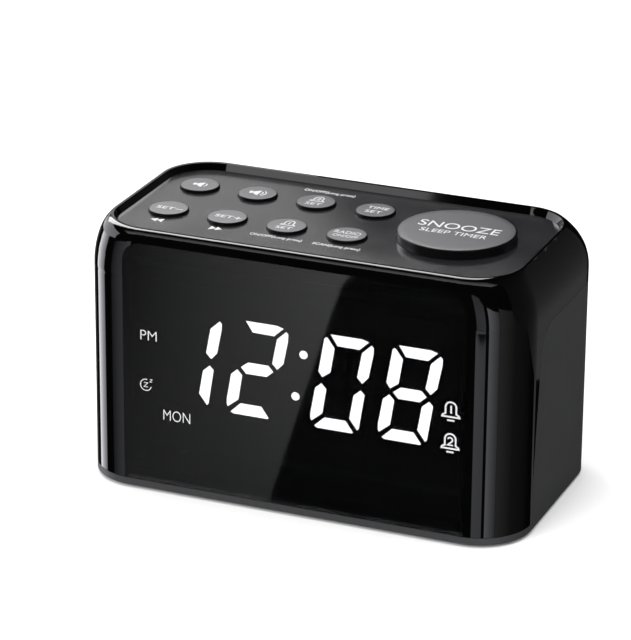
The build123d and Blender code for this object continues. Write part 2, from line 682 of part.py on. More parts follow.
# ---------------------------------------------------------------- main board
main_board = slab(
    (-MAIN_BOARD_SIZE[0] / 2, MAIN_BOARD_SIZE[0] / 2), (MAIN_Y_LOW, MAIN_Y_HIGH), (MAIN_BOARD_Z, Z_MAIN_TOP)
)
main_board -= [
    rod_z(place, SMALL_SHANK + 0.4, MAIN_BOARD_Z - 1, Z_MAIN_TOP + 1) for place in MAIN_POSTS
]
save(main_board, "main_board")
main_screw = Rot(180, 0, 0) * small_screw(BOARD_THICKNESS + 4.5)
save(group([Pos(x, y, Z_MAIN_TOP) * main_screw for x, y in MAIN_POSTS]), "main_board_screws")

chip = slab((-6, 6), (8, 20), (Z_MAIN_TOP, Z_MAIN_TOP + 1.5))
chip = chamfer(chip.faces().sort_by(Axis.Z)[-1].edges(), 0.3)
amplifier = slab((20, 25), (8, 14), (Z_MAIN_TOP, Z_MAIN_TOP + 1.5))
save(group([chip, amplifier]), "chips")

can = slab((28, 44), (-10, 4), (Z_MAIN_TOP, Z_MAIN_TOP + 3.2))
can = fillet(can.faces().sort_by(Axis.Z)[-1].edges(), 0.4)
can -= slab((28.3, 43.7), (-9.7, 3.7), (Z_MAIN_TOP - 1, Z_MAIN_TOP + 2.9))
save(can, "tuner_can")

capacitors = []
for x, y, diameter, height in ((-35, 2, 6.3, 9.0), (-35, 10, 6.3, 9.0), (-36, -8, 8.0, 12.0)):
    capacitor = rod_z((x, y), diameter, Z_MAIN_TOP, Z_MAIN_TOP + height)
    capacitors.append(fillet(capacitor.edges().filter_by(GeomType.CIRCLE), 0.4))
save(group(capacitors), "capacitors")

FERRITE_Z = 30.0
FERRITE_Y = 0.0
rod = Pos(0, FERRITE_Y, FERRITE_Z) * Rot(0, 90, 0) * Cylinder(3.5, 60)
rod = fillet(rod.edges().filter_by(GeomType.CIRCLE), 0.4)
save(rod, "ferrite_rod")
coil = Pos(7, FERRITE_Y, FERRITE_Z) * Rot(0, 90, 0) * (Cylinder(4.6, 14) - Cylinder(3.52, 14))
save(coil, "ferrite_coil")
cradles = []
for x in (-25.0, 23.0):
    cradle = slab((x - 1.5, x + 1.5), (FERRITE_Y - 4.5, FERRITE_Y + 4.5), (Z_MAIN_TOP, FERRITE_Z))
    cradle -= Pos(x, FERRITE_Y, FERRITE_Z) * Rot(0, 90, 0) * Cylinder(3.52, 10)
    cradles.append(cradle)
save(group(cradles), "rod_cradles")

# DC inlet: body on the board, nose in the back wall, centre pin in the bore
half_jack = JACK_SIZE[0] / 2
Y_JACK_BACK = Y_WALL_INNER - 0.2
dc_jack = slab(
    (JACK_X - half_jack, JACK_X + half_jack),
    (Y_JACK_BACK - JACK_SIZE[1], Y_JACK_BACK),
    (Z_MAIN_TOP, Z_MAIN_TOP + JACK_SIZE[2]),
)
dc_jack = chamfer(dc_jack.edges().filter_by(Axis.Y), 0.5)
dc_jack += rod_y(JACK_X, JACK_Z, JACK_NOSE_DIAMETER, Y_JACK_BACK - 1, Y_SOCKET_FACE)
dc_jack -= rod_y(JACK_X, JACK_Z, JACK_BORE_DIAMETER, Y_SOCKET_FACE - JACK_BORE_DEPTH, Y_SOCKET_FACE + 1)
dc_jack -= rod_y(
    JACK_X, JACK_Z, JACK_PIN_DIAMETER, Y_SOCKET_FACE - JACK_BORE_DEPTH - 2, Y_SOCKET_FACE
)
save(dc_jack, "dc_jack")
pin_tip = Y_SOCKET_FACE - 1.0
dc_pin = rod_y(JACK_X, JACK_Z, JACK_PIN_DIAMETER, Y_SOCKET_FACE - JACK_BORE_DEPTH - 2, pin_tip)
dc_pin = fillet(dc_pin.edges().filter_by(GeomType.CIRCLE).sort_by(Axis.Y)[-1], 0.6)
save(dc_pin, "dc_pin")

# ---------------------------------------------------------------- speaker behind the grille
ring_hole = CONE_DIAMETER + 1.6
gasket = rod_y(0, SPEAKER_Z, SPEAKER_DIAMETER, Y_SPEAKER_FLANGE, Y_WALL_INNER)
gasket -= rod_y(0, SPEAKER_Z, ring_hole, Y_SPEAKER_FLANGE - 1, Y_WALL_INNER + 1)
save(gasket, "speaker_gasket")

Y_BASKET_END = Y_SPEAKER_FACE - BASKET_DEPTH
cone_half = CONE_DIAMETER / 2
coil_half = COIL_DIAMETER / 2
magnet_half = MAGNET_DIAMETER / 2


def turned(profile, centre_x, centre_z):
    """Solid of revolution about Y from (radius, y) points."""
    face = make_face(Polyline(*profile, close=True))
    return Pos(centre_x, 0, centre_z) * revolve(face, Axis.Y)


basket = turned(
    [
        (cone_half + 0.8, Y_SPEAKER_FLANGE),
        (SPEAKER_DIAMETER / 2, Y_SPEAKER_FLANGE),
        (SPEAKER_DIAMETER / 2, Y_SPEAKER_FACE),
        (cone_half + 1.6, Y_SPEAKER_FACE),
        (magnet_half, Y_BASKET_END),
        (coil_half + 0.8, Y_BASKET_END),
        (coil_half + 0.8, Y_BASKET_END + 1.0),
        (magnet_half - 0.6, Y_BASKET_END + 1.0),
        (cone_half + 0.8, Y_SPEAKER_FACE),
    ],
    0,
    SPEAKER_Z,
)
for x, z in SPEAKER_BOSSES:
    basket += rod_y(x, z, EAR_DIAMETER, Y_SPEAKER_FACE, Y_SPEAKER_FLANGE)
for x, z in SPEAKER_BOSSES:
    basket -= rod_y(x, z, SMALL_SHANK + 0.4, Y_SPEAKER_FACE - 1, Y_SPEAKER_FLANGE + 1)
for angle in (45, 135, 225, 315):
    window = Pos(0, Y_BASKET_END + 6.5, 0) * Box(9, 6.5, 60)
    window = Rot(0, angle, 0) * (window & slab((-5, 5), (-DEPTH, DEPTH), (0, 40)))
    basket -= Pos(0, 0, SPEAKER_Z) * window
save(basket, "speaker_basket")

cone = turned(
    [
        (cone_half + 0.7, Y_SPEAKER_FLANGE - 0.1),
        (cone_half + 0.7, Y_SPEAKER_FLANGE - 0.6),
        (cone_half - 0.5, Y_SPEAKER_FLANGE - 0.6),
        (coil_half, Y_SPEAKER_FLANGE - CONE_DEPTH),
        (0, Y_SPEAKER_FLANGE - CONE_DEPTH),
        (0, Y_SPEAKER_FLANGE - CONE_DEPTH + 3.0),
        (coil_half * 0.6, Y_SPEAKER_FLANGE - CONE_DEPTH + 2.4),
        (coil_half, Y_SPEAKER_FLANGE - CONE_DEPTH + 0.6),
        (cone_half - 0.9, Y_SPEAKER_FLANGE - 0.1),
    ],
    0,
    SPEAKER_Z,
)
save(cone, "speaker_cone")
magnet = rod_y(0, SPEAKER_Z, MAGNET_DIAMETER, Y_BASKET_END - MAGNET_DEPTH, Y_BASKET_END)
magnet = fillet(magnet.edges().filter_by(GeomType.CIRCLE), 0.5)
save(magnet, "speaker_magnet")
save(
    group([Pos(x, Y_SPEAKER_FACE, z) * Rot(-90, 0, 0) * small_screw(3.2) for x, z in SPEAKER_BOSSES]),
    "speaker_screws",
)

# ---------------------------------------------------------------- battery contacts and door
CELL_ROWS = [BAY_Y_LOW + BAY_WIDTH * share for share in (0.26, 0.74)]
CELL_Z = Z_FLOOR + BAY_DEPTH / 2
SPRING_PLATE = 0.4
X_SPRING = -BAY_LENGTH / 2
plates = []
springs = []
for y in CELL_ROWS:
    plates.append(slab((X_SPRING, X_SPRING + SPRING_PLATE), (y - 4, y + 4), (CELL_Z - 4, CELL_Z + 4)))
    path = Helix(1.6, SPRING_LENGTH - 1.0, 3.4, cone_angle=-12)
    wire = sweep(Plane(origin=path @ 0, z_dir=path % 0) * Circle(SPRING_WIRE / 2), path, is_frenet=True)
    springs.append(Pos(X_SPRING + SPRING_PLATE + SPRING_WIRE / 2, y, CELL_Z) * Rot(0, 90, 0) * wire)
save(group(springs), "contact_springs")
far_plate = slab(
    (BAY_LENGTH / 2 - SPRING_PLATE, BAY_LENGTH / 2),
    (CELL_ROWS[0] - 4, CELL_ROWS[1] + 4),
    (CELL_Z - 4, CELL_Z + 4),
)
save(group(plates + [far_plate]), "contact_plates")

door = slab((-DOOR_HALF, DOOR_HALF), (DOOR_Y_LOW, Y_BACK), (Z_BASE, Z_BASE + DOOR_THICKNESS))
door += slab(
    (-DOOR_HALF - TONGUE_REACH, DOOR_HALF + TONGUE_REACH),
    (DOOR_Y_LOW, Y_BACK - 6),
    (Z_TONGUE, Z_TONGUE + TONGUE_THICKNESS),
)
for step in range(5):
    y = Y_BACK - 5 - 1.8 * step
    door -= slab((-9, 9), (y - 0.45, y + 0.45), (Z_BASE - 1, Z_BASE + 0.5))
save(door, "battery_door")

# ---------------------------------------------------------------- feet, screws and inner cables
feet = []
for place in FOOT_PLACES:
    foot = rod_z(place, FOOT_DIAMETER, 0, Z_BASE + FOOT_POCKET)
    feet.append(fillet(foot.edges().filter_by(GeomType.CIRCLE).sort_by(Axis.Z)[0], 0.35))
save(group(feet), "rubber_feet")

case_screws = []
for x, y in POST_PLACES:
    head = rod_z((0, 0), SCREW_HEAD_DIAMETER, -SCREW_HEAD_HEIGHT, 0)
    head = fillet(head.edges().sort_by(Axis.Z)[0], 0.7)
    screw = head + rod_z((0, 0), SCREW_SHANK_DIAMETER, -0.2, SCREW_LENGTH)
    screw -= slab((-1.7, 1.7), (-0.35, 0.35), (-SCREW_HEAD_HEIGHT - 1, -SCREW_HEAD_HEIGHT + 0.9))
    screw -= slab((-0.35, 0.35), (-1.7, 1.7), (-SCREW_HEAD_HEIGHT - 1, -SCREW_HEAD_HEIGHT + 0.9))
    case_screws.append(Pos(x, y, Z_SCREW_SEAT) * screw)
save(group(case_screws), "case_screws")

PLUG_HEIGHT = 3.0
RIBBON_THICKNESS = 0.5
key_ribbon_y = -6.0
Z_BOARD_LOW = Z_KEY_BOARD - BOARD_THICKNESS
plug_low = slab((-9, 5), (key_ribbon_y - 2, key_ribbon_y + 2), (Z_MAIN_TOP, Z_MAIN_TOP + PLUG_HEIGHT))
plug_high = slab((-9, 5), (key_ribbon_y - 2, key_ribbon_y + 2), (Z_BOARD_LOW - PLUG_HEIGHT, Z_BOARD_LOW))
save(group([plug_low, plug_high]), "ribbon_plugs")
key_ribbon = slab(
    (-8, 4),
    (key_ribbon_y - RIBBON_THICKNESS / 2, key_ribbon_y + RIBBON_THICKNESS / 2),
    (Z_MAIN_TOP + PLUG_HEIGHT, Z_BOARD_LOW - PLUG_HEIGHT),
)
save(key_ribbon, "key_ribbon")
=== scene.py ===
"""Looks for the bedside clock radio: finishes, prints, lit display, stage, lights and camera.

Lengths are in millimetres in the tables below and are turned into metres where pieces are made.
"""

import math

import bmesh
import bpy
from mathutils import Matrix, Vector


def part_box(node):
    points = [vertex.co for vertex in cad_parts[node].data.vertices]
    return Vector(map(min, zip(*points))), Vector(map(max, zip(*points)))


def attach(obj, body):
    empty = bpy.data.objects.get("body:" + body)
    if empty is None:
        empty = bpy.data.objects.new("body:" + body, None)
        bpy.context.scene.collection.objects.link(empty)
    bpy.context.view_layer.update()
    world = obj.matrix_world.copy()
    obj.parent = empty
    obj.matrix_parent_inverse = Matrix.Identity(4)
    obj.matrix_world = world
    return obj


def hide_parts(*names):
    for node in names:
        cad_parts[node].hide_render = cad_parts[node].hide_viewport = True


MM = 0.001
WHITE = (1.0, 1.0, 1.0)

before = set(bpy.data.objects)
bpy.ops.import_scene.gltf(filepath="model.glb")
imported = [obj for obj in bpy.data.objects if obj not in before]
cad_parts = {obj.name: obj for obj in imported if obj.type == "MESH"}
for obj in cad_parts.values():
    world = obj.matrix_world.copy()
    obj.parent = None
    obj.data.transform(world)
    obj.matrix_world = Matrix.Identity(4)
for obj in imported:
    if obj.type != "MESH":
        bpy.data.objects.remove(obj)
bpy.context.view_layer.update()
scene = bpy.context.scene


# ---------------------------------------------------------------- node helpers
class Graph:
    """Adds and wires nodes in one tree."""

    def __init__(self, tree):
        self.tree = tree
        self.column = 0

    def add(self, kind, label="", **values):
        node = self.tree.nodes.new(kind)
        self.column += 1
        node.location = (220 * self.column, 0)
        node.label = label
        for name, value in values.items():
            if name in node.inputs and not hasattr(node, name):
                node.inputs[name].default_value = value
            else:
                setattr(node, name, value)
        return node

    def wire(self, out_socket, in_socket):
        self.tree.links.new(out_socket, in_socket)

    def sums(self, operation, first, second, label=""):
        """One Math node; either side may be a number or a socket."""
        node = self.add("ShaderNodeMath", label, operation=operation)
        for slot, side in enumerate((first, second)):
            if isinstance(side, (int, float)):
                node.inputs[slot].default_value = side
            else:
                self.wire(side, node.inputs[slot])
        return node.outputs[0]


def new_group(name, inputs, outputs):
    """Empty shader group with named float or colour sockets."""
    group = bpy.data.node_groups.new(name, "ShaderNodeTree")
    kinds = {"float": "NodeSocketFloat", "colour": "NodeSocketColor"}
    for label, kind, value in inputs:
        socket = group.interface.new_socket(
            name=label, in_out="INPUT", socket_type=kinds[kind]
        )
        if value is not None:
            socket.default_value = value
    for label, kind in outputs:
        group.interface.new_socket(name=label, in_out="OUTPUT", socket_type=kinds[kind])
    graph = Graph(group)
    return group, graph, graph.add("NodeGroupInput"), graph.add("NodeGroupOutput")


def build_moulded_grain():
    """Fine spark-eroded grain of a moulded part: height, and the roughness it leaves."""
    group, graph, given, result = new_group(
        "moulded grain",
        [
            ("Grains per metre", "float", 3000.0),
            ("Roughness", "float", 0.5),
            ("Roughness spread", "float", 0.1),
        ],
        [("Height", "float"), ("Roughness", "float")],
    )
    place = graph.add("ShaderNodeTexCoord")
    fine = graph.add("ShaderNodeTexNoise", "grain", Detail=3.0, Roughness=0.6)
    graph.wire(place.outputs["Object"], fine.inputs["Vector"])
    graph.wire(given.outputs["Grains per metre"], fine.inputs["Scale"])
    broad = graph.add("ShaderNodeTexNoise", "uneven sheen", Scale=60.0, Detail=2.0)
    graph.wire(place.outputs["Object"], broad.inputs["Vector"])
    graph.wire(fine.outputs["Fac"], result.inputs["Height"])
    centred = graph.sums("SUBTRACT", broad.outputs["Fac"], 0.5)
    spread = graph.sums("MULTIPLY", centred, given.outputs["Roughness spread"])
    graph.wire(graph.sums("ADD", given.outputs["Roughness"], spread), result.inputs["Roughness"])
    return group


def build_tone_drift():
    """Slow drift of tone over a surface, with faint dust caught in it."""
    group, graph, given, result = new_group(
        "tone drift",
        [
            ("Colour", "colour", (0.1, 0.1, 0.1, 1.0)),
            ("Drift", "float", 0.15),
            ("Patches per metre", "float", 45.0),
            ("Dust", "float", 0.0),
        ],
        [("Colour", "colour"), ("Dust mask", "float")],
    )
    place = graph.add("ShaderNodeTexCoord")
    patches = graph.add("ShaderNodeTexNoise", "patches", Detail=4.0, Roughness=0.55)
    graph.wire(place.outputs["Object"], patches.inputs["Vector"])
    graph.wire(given.outputs["Patches per metre"], patches.inputs["Scale"])
    centred = graph.sums("SUBTRACT", patches.outputs["Fac"], 0.5)
    swing = graph.sums("MULTIPLY", centred, given.outputs["Drift"])
    bright = graph.sums("ADD", swing, 1.0)
    shade = graph.add("ShaderNodeHueSaturation")
    graph.wire(given.outputs["Colour"], shade.inputs["Color"])
    graph.wire(bright, shade.inputs["Value"])
    specks = graph.add("ShaderNodeTexVoronoi", "dust specks", Scale=900.0, feature="F1")
    graph.wire(place.outputs["Object"], specks.inputs["Vector"])
    near = graph.add("ShaderNodeMapRange", "speck size")
    near.inputs["From Min"].default_value = 0.09
    near.inputs["From Max"].default_value = 0.05
    graph.wire(specks.outputs["Distance"], near.inputs["Value"])
    dust = graph.sums("MULTIPLY", near.outputs["Result"], given.outputs["Dust"])
    mixed = graph.add("ShaderNodeMix", "dust over colour", data_type="RGBA")
    mixed.inputs[7].default_value = (0.35, 0.35, 0.34, 1.0)
    graph.wire(dust, mixed.inputs[0])
    graph.wire(shade.outputs["Color"], mixed.inputs[6])
    graph.wire(mixed.outputs[2], result.inputs["Colour"])
    graph.wire(dust, result.inputs["Dust mask"])
    return group


def build_wipe_marks():
    """Hairline wipe marks on polished plastic: roughness and a very low height."""
    group, graph, given, result = new_group(
        "wipe marks",
        [("Roughness", "float", 0.05), ("Marks", "float", 0.04)],
        [("Roughness", "float"), ("Height", "float")],
    )
    place = graph.add("ShaderNodeTexCoord")
    stretch = graph.add("ShaderNodeMapping", "along the wipe")
    stretch.inputs["Rotation"].default_value = (0.2, 0.5, 0.35)
    stretch.inputs["Scale"].default_value = (40.0, 900.0, 900.0)
    graph.wire(place.outputs["Object"], stretch.inputs["Vector"])
    lines = graph.add("ShaderNodeTexNoise", "hairlines", Scale=1.0, Detail=2.0)
    graph.wire(stretch.outputs["Vector"], lines.inputs["Vector"])
    film = graph.add("ShaderNodeTexNoise", "film", Scale=35.0, Detail=3.0)
    graph.wire(place.outputs["Object"], film.inputs["Vector"])
    product = graph.sums("MULTIPLY", lines.outputs["Fac"], film.outputs["Fac"])
    marks = graph.sums("MULTIPLY", product, given.outputs["Marks"])
    graph.wire(graph.sums("ADD", given.outputs["Roughness"], marks), result.inputs["Roughness"])
    graph.wire(lines.outputs["Fac"], result.inputs["Height"])
    return group


GRAIN = build_moulded_grain()
DRIFT = build_tone_drift()
WIPES = build_wipe_marks()


def new_material(name):
    """Material with an empty Principled shader wired to its output."""
    material = bpy.data.materials.new(name)
    material.use_nodes = True
    material.node_tree.nodes.clear()
    graph = Graph(material.node_tree)
    shader = graph.add("ShaderNodeBsdfPrincipled")
    out = graph.add("ShaderNodeOutputMaterial")
    graph.wire(shader.outputs["BSDF"], out.inputs["Surface"])
    return material, graph, shader


SHEEN_SPREAD = 0.12
HAIRLINE_DEPTH = 0.0000004


def moulded(
    name, colour, roughness, grain=3000.0, height=0.00001, drift=0.2, dust=0.0, specular=0.5
):
    """Moulded plastic or rubber with grain, an uneven sheen and a slow drift of tone."""
    material, graph, shader = new_material(name)
    shader.inputs["Specular IOR Level"].default_value = specular
    tone = graph.add("ShaderNodeGroup", node_tree=DRIFT, Colour=(*colour, 1.0), Drift=drift)
    tone.inputs["Dust"].default_value = dust
    graph.wire(tone.outputs["Colour"], shader.inputs["Base Color"])
    texture = graph.add("ShaderNodeGroup", node_tree=GRAIN, Roughness=roughness)
    texture.inputs["Grains per metre"].default_value = grain
    texture.inputs["Roughness spread"].default_value = SHEEN_SPREAD
    graph.wire(texture.outputs["Roughness"], shader.inputs["Roughness"])
    bump = graph.add("ShaderNodeBump", "grain", Strength=0.6, Distance=height)
    graph.wire(texture.outputs["Height"], bump.inputs["Height"])
    graph.wire(bump.outputs["Normal"], shader.inputs["Normal"])
    return material


def polished(name, colour, roughness, marks=0.04):
    """Polished plastic with hairline wipe marks."""
    material, graph, shader = new_material(name)
    tone = graph.add("ShaderNodeGroup", node_tree=DRIFT, Colour=(*colour, 1.0), Drift=0.1)
    graph.wire(tone.outputs["Colour"], shader.inputs["Base Color"])
    wipe = graph.add("ShaderNodeGroup", node_tree=WIPES, Roughness=roughness, Marks=marks)
    graph.wire(wipe.outputs["Roughness"], shader.inputs["Roughness"])
    bump = graph.add("ShaderNodeBump", "hairlines", Strength=0.3, Distance=HAIRLINE_DEPTH)
    graph.wire(wipe.outputs["Height"], bump.inputs["Height"])
    graph.wire(bump.outputs["Normal"], shader.inputs["Normal"])
    return material


def smoked(name, colour, roughness, marks, ior):
    """Polished plastic that light passes through."""
    material = polished(name, colour, roughness, marks)
    shader = material.node_tree.nodes["Principled BSDF"]
    shader.inputs["Transmission Weight"].default_value = 1.0
    shader.inputs["IOR"].default_value = ior
    return material


def metal(name, colour, roughness):
    """Plain plated or pressed metal with a drawn surface."""
    material, graph, shader = new_material(name)
    shader.inputs["Metallic"].default_value = 1.0
    tone = graph.add("ShaderNodeGroup", node_tree=DRIFT, Colour=(*colour, 1.0), Drift=0.15)
    graph.wire(tone.outputs["Colour"], shader.inputs["Base Color"])
    wipe = graph.add("ShaderNodeGroup", node_tree=WIPES, Roughness=roughness, Marks=0.25)
    graph.wire(wipe.outputs["Roughness"], shader.inputs["Roughness"])
    return material


def glowing(name, colour, strength):
    """Back-lit plastic, a little uneven where the lamp sits behind it."""
    material, graph, shader = new_material(name)
    shader.inputs["Base Color"].default_value = (*colour, 1.0)
    shader.inputs["Roughness"].default_value = 0.5
    shader.inputs["Emission Strength"].default_value = strength
    tone = graph.add("ShaderNodeGroup", node_tree=DRIFT, Colour=(*colour, 1.0), Drift=0.05)
    tone.inputs["Patches per metre"].default_value = 160.0
    graph.wire(tone.outputs["Colour"], shader.inputs["Emission Color"])
    return material


GLOSS_BLACK = polished("gloss black shell", (0.0008, 0.0007, 0.0007), 0.035, marks=0.012)
SMOKED = smoked("smoked lens", (0.05, 0.05, 0.052), 0.02, marks=0.004, ior=1.49)
MATT_CASE = moulded(
    "matt black case",
    (0.031, 0.0315, 0.033),
    0.55,
    grain=1800.0,
    height=0.00006,
    drift=0.28,
    dust=0.02,
)
PANEL = moulded(
    "graphite panel", (0.011, 0.011, 0.0122), 0.18, grain=3600.0, dust=0.01, specular=0.42
)
KEY = moulded(
    "graphite key", (0.038, 0.0372, 0.0408), 0.36, grain=4200.0, height=0.000006, drift=0.15
)
# Rim and sides of the key caps, far darker than the tops: painted shade for the dark crescent
# round each cap
KEY_RIM_PAINTED_SHADE = moulded(
    "key rim painted shade", (0.0022, 0.0022, 0.0023), 0.3, grain=4200.0, height=0.000003, specular=0.22
)
PRINT = moulded(
    "white print", (0.50, 0.50, 0.51), 0.55, grain=6000.0, height=0.000002, drift=0.1
)
LIT = glowing("lit bar", (1.0, 1.0, 1.0), 26.0)
LIT_ICON = glowing("lit sign", (1.0, 0.99, 0.98), 18.0)
UNLIT = moulded("unlit bar", (0.05, 0.05, 0.052), 0.5)
MASK = moulded("display mask", (0.004, 0.004, 0.004), 0.7)
FOOT = moulded("foot rubber", (0.02, 0.02, 0.021), 0.8, grain=1800.0, height=0.00003)
INNER_BLACK = moulded("inner black plastic", (0.02, 0.02, 0.02), 0.5)
INNER_PALE = moulded("inner pale plastic", (0.7, 0.68, 0.6), 0.5)
CONE_PULP = moulded("speaker cone pulp", (0.03, 0.03, 0.032), 0.9, grain=900.0, height=0.00008)
FERRITE = moulded("sintered ferrite", (0.05, 0.048, 0.046), 0.6)
BOARD = moulded("green solder mask", (0.015, 0.09, 0.04), 0.35)
SLEEVE = polished("capacitor sleeve", (0.015, 0.025, 0.09), 0.25)
STEEL = metal("zinc plated steel", (0.55, 0.55, 0.57), 0.32)
BLACK_STEEL = metal("blackened steel", (0.06, 0.06, 0.062), 0.4)
TIN = metal("tin plate", (0.7, 0.7, 0.68), 0.25)
COPPER = metal("enamelled copper", (0.65, 0.28, 0.12), 0.3)

FINISHES = {
    "front_shell": GLOSS_BLACK,
    "display_lens": SMOKED,
    "rear_case": MATT_CASE,
    "battery_door": MATT_CASE,
    "top_panel": PANEL,
    "key_snooze": KEY,
    "tact_switches": INNER_BLACK,
    "switch_plungers": INNER_BLACK,
    "key_board": BOARD,
    "display_board": BOARD,
    "main_board": BOARD,
    "key_board_screws": STEEL,
    "display_board_screws": STEEL,
    "main_board_screws": STEEL,
    "speaker_screws": STEEL,
    "case_screws": BLACK_STEEL,
    "display_reflector": MASK,
    "display_leds": INNER_PALE,
    "chips": INNER_BLACK,
    "tuner_can": TIN,
    "capacitors": SLEEVE,
    "ferrite_rod": FERRITE,
    "ferrite_coil": COPPER,
    "rod_cradles": INNER_PALE,
    "dc_jack": INNER_BLACK,
    "dc_pin": TIN,
    "speaker_gasket": FOOT,
    "speaker_basket": STEEL,
    "speaker_cone": CONE_PULP,
    "speaker_magnet": FERRITE,
    "contact_springs": TIN,
    "contact_plates": TIN,
    "rubber_feet": FOOT,
    "ribbon_plugs": INNER_PALE,
    "key_ribbon": INNER_PALE,
}
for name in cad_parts:
    if name.startswith("key_") and name not in FINISHES:
        FINISHES[name] = KEY
for name, finish in FINISHES.items():
    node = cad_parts[name]
    node.data.materials.clear()
    node.data.materials.append(finish)


# ---------------------------------------------------------------- flat artwork
# Thickness of the printed lettering and signs
INK = 0.02


def arc(centre, radius, start, end, steps=16):
    """Points on an arc, angles in degrees."""
    points = []
    for step in range(steps + 1):
        angle = math.radians(start + (end - start) * step / steps)
        reach = (radius * math.cos(angle), radius * math.sin(angle))
        points.append((centre[0] + reach[0], centre[1] + reach[1]))
    return points


def stroke(points, width, closed=False):
    """Quads of a line of even width, mitred at its turns."""
    count = len(points)
    left = []
    right = []
    for index, (x, y) in enumerate(points):
        before = points[index - 1] if index > 0 or closed else None
        after = points[(index + 1) % count] if index < count - 1 or closed else None
        ways = []
        if before is not None:
            ways.append(Vector((x - before[0], y - before[1])).normalized())
        if after is not None:
            ways.append(Vector((after[0] - x, after[1] - y)).normalized())
        way = sum(ways, Vector((0.0, 0.0))).normalized()
        reach = width / 2 / max(0.4, way.dot(ways[0]))
        left.append((x - way.y * reach, y + way.x * reach))
        right.append((x + way.y * reach, y - way.x * reach))
    last = count if closed else count - 1
    quads = []
    for index in range(last):
        following = (index + 1) % count
        quads.append([left[index], left[following], right[following], right[index]])
    return quads


def lay_flat(point, height):
    """Artwork point on the top of the radio."""
    return Vector((point[0] * MM, point[1] * MM, height * MM))


def stand_up(point, depth):
    """Artwork point on an upright plane facing the front."""
    return Vector((point[0] * MM, depth * MM, point[1] * MM))


def artwork(name, faces, place, level, thickness, finish):
    """Thin raised ink or plastic from 2D faces; the thickness grows out of the surface."""
    mesh = bmesh.new()
    for face in faces:
        low = [mesh.verts.new(place(point, level)) for point in face]
        high = [mesh.verts.new(place(point, level + thickness)) for point in face]
        mesh.faces.new(low)
        mesh.faces.new(high)
        for index in range(len(face)):
            following = (index + 1) % len(face)
            mesh.faces.new([low[index], low[following], high[following], high[index]])
    bmesh.ops.recalc_face_normals(mesh, faces=mesh.faces)
    data = bpy.data.meshes.new(name)
    mesh.to_mesh(data)
    mesh.free()
    piece = bpy.data.objects.new(name, data)
    scene.collection.objects.link(piece)
    data.materials.append(finish)
    return piece


def lettering(name, words, centre, size, level, finish, upright=False, weight=0.0):
    """A line of plain lettering, its width and height given, as a thin mesh about a point."""
    curve = bpy.data.curves.new(name, "FONT")
    curve.body = words
    curve.align_x = "CENTER"
    curve.align_y = "CENTER"
    curve.size = 1.0
    curve.offset = weight
    maker = bpy.data.objects.new(name + "_maker", curve)
    scene.collection.objects.link(maker)
    bpy.context.view_layer.update()
    data = bpy.data.meshes.new_from_object(maker)
    bpy.data.objects.remove(maker)
    xs = [vertex.co.x for vertex in data.vertices]
    ys = [vertex.co.y for vertex in data.vertices]
    scale_x = size[0] / (max(xs) - min(xs))
    scale_y = size[1] / (max(ys) - min(ys))
    middle = ((max(xs) + min(xs)) / 2, (max(ys) + min(ys)) / 2)
    place = stand_up if upright else lay_flat
    for vertex in data.vertices:
        x = centre[0] + (vertex.co.x - middle[0]) * scale_x
        y = centre[1] + (vertex.co.y - middle[1]) * scale_y
        vertex.co = place((x, y), level)
    mesh = bmesh.new()
    mesh.from_mesh(data)
    raised = bmesh.ops.extrude_face_region(mesh, geom=mesh.faces[:])
    out = Vector((0.0, -1.0, 0.0)) if upright else Vector((0.0, 0.0, 1.0))
    moved = [item for item in raised["geom"] if isinstance(item, bmesh.types.BMVert)]
    bmesh.ops.translate(mesh, verts=moved, vec=out * INK * MM)
    bmesh.ops.recalc_face_normals(mesh, faces=mesh.faces)
    mesh.to_mesh(data)
    mesh.free()
    piece = bpy.data.objects.new(name, data)
    scene.collection.objects.link(piece)
    data.materials.clear()
    data.materials.append(finish)
    return piece


def top_of(node):
    """Height of a node's top, in millimetres."""
    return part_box(node)[1][2] / MM


def middle_of(node):
    """Plan centre of a node, in millimetres."""
    low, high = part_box(node)
    return ((low[0] + high[0]) / 2 / MM, (low[1] + high[1]) / 2 / MM)


# ---------------------------------------------------------------- display bars and signs
SLANT = 0.168
DIGIT_LOW = 29.0
DIGIT_X = (-40.4, -19.7, 6.45, 27.2)
DIGIT_BARS = ("bc", "abged", "abcdef", "abcdefg")
DOTS = ((3.0, 50.5), (0.6, 37.3))
DOT_RADIUS = 1.25

# The seven bars of an upright digit, lower left at zero
BARS = {
    "a": [(0, 29.1), (9.6, 29.1), (11.7, 28.5), (9.3, 25.8), (2.65, 25.9)],
    "b": [
        (12.7, 27.6),
        (13.45, 27.0),
        (13.7, 25.0),
        (13.5, 17.6),
        (12.0, 15.6),
        (10.15, 17.25),
        (10.3, 24.9),
    ],
    "c": [(11.95, 13.4), (13.3, 12.2), (13.45, 1.6), (13.1, 0.95), (10.1, 4.2), (10.1, 11.5)],
    "d": [(2.65, 3.25), (9.1, 3.25), (11.9, 0.1), (11.7, -0.25), (0.9, -0.25), (0, 0.25)],
    "e": [
        (-0.15, 13.65),
        (1.6, 12.1),
        (1.7, 4.4),
        (-1.15, 1.7),
        (-1.6, 2.5),
        (-1.85, 4.1),
        (-1.8, 12.0),
    ],
    "f": [
        (-1.25, 28.0),
        (-0.75, 27.85),
        (1.85, 25.0),
        (1.9, 17.4),
        (-0.25, 15.65),
        (-1.7, 17.3),
        (-1.7, 27.5),
    ],
    "g": [(2.85, 16.35), (9.1, 16.35), (10.9, 14.65), (9.2, 12.85), (2.75, 12.8), (0.85, 14.6)],
}


def slanted(outline, left):
    """Slants a bar and moves it to its digit."""
    return [(left + x + z * SLANT, DIGIT_LOW + z) for x, z in outline]


